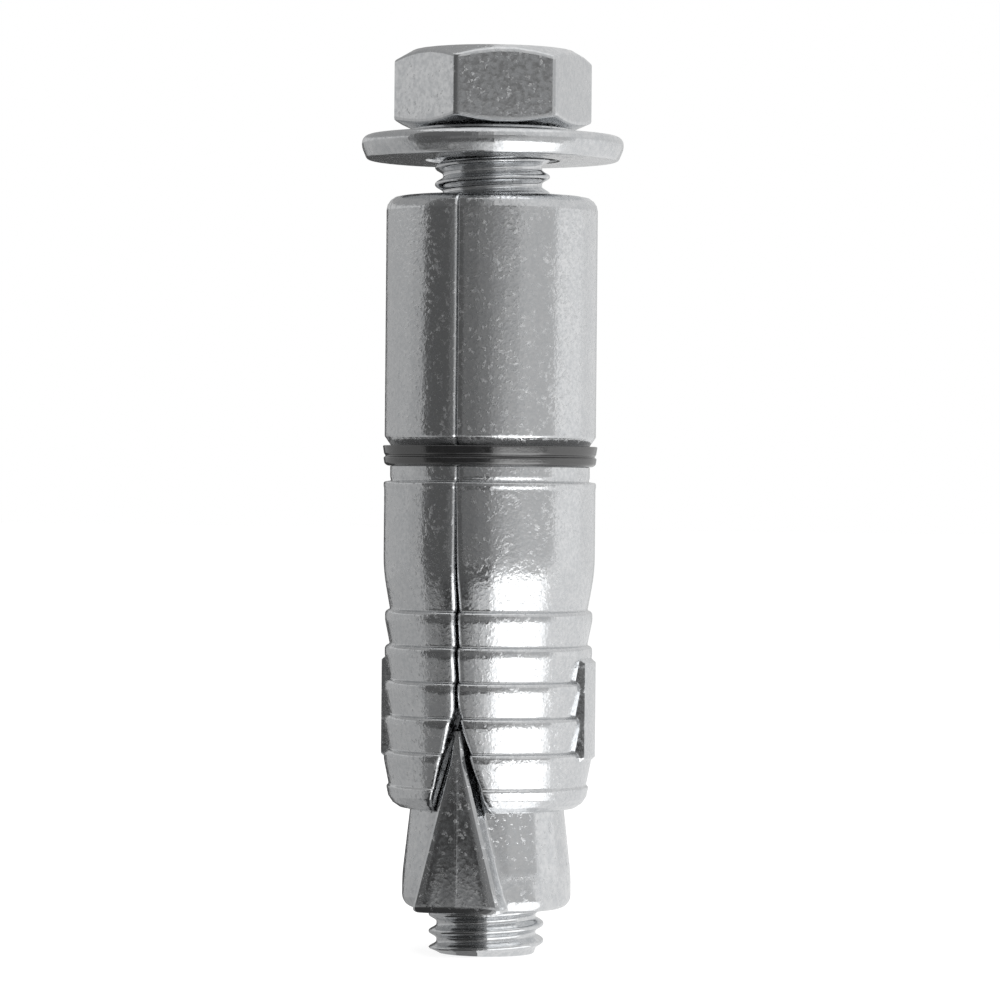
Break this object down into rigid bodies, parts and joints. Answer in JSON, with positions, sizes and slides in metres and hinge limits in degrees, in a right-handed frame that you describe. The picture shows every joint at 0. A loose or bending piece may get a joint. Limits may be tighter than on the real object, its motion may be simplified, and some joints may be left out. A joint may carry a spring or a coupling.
{
  "type": "expansion anchor",
  "caption": "Shield-type masonry anchor: turning the hex bolt draws a keyed cone nut into a ribbed split shield, which spreads in its hole.",
  "frame": {"origin": "centre of the flat on the bolt tip, the lowest point of the upright anchor", "axes": "+Z along the bolt axis from tip to head; the two parting slits face -Y and +Y, and the half shells lie on -X and +X"},
  "size_m": [0.027, 0.027, 0.093],
  "materials": {
    "bolt_zinc": "bright zinc plate on steel",
    "washer_zinc": "bright zinc plate on steel",
    "shell_zinc": "zinc plate on pressed steel, finely mottled",
    "nut_zinc": "zinc plate on forged steel, speckled",
    "black_rubber": "moulded, half gloss"
  },
  "bodies": {
    "bolt": {"hex_bolt": "bolt_zinc"},
    "washer": {"washer": "washer_zinc"},
    "ring": {"retaining_ring": "black_rubber"},
    "left_shell": {"left_shell": "shell_zinc"},
    "right_shell": {"right_shell": "shell_zinc"},
    "nut": {"cone_nut": "nut_zinc"}
  },
  "joints": [
    {"name": "washer_slide", "type": "slide", "parent": "bolt", "child": "washer", "axis": [0, 0, 1], "range_m": [-0.0035, 0.0003]},
    {"name": "shield_turn", "type": "hinge", "parent": "bolt", "child": "ring", "pos_m": [0, 0, 0.0512], "axis": [0, 0, 1], "range_deg": [0, 1080]},
    {"name": "nut_draw", "type": "slide", "parent": "ring", "child": "nut", "axis": [0, 0, 1], "range_m": [0, 0.00525]},
    {"name": "left_spread", "type": "hinge", "parent": "ring", "child": "left_shell", "pos_m": [0, 0, 0.0779], "axis": [0, 1, 0], "range_deg": [0, 0.722], "deforming": ["retaining_ring"]},
    {"name": "right_spread", "type": "hinge", "parent": "ring", "child": "right_shell", "pos_m": [0, 0, 0.0779], "axis": [0, -1, 0], "range_deg": [0, 0.722], "deforming": ["retaining_ring"]}
  ],
  "couplings": [
    {"joint": "shield_turn", "follows": "nut_draw", "rad_per_m": 3590.4},
    {"joint": "left_spread", "follows": "nut_draw", "rad_per_m": 2.4},
    {"joint": "right_spread", "follows": "nut_draw", "rad_per_m": 2.4}
  ]
}
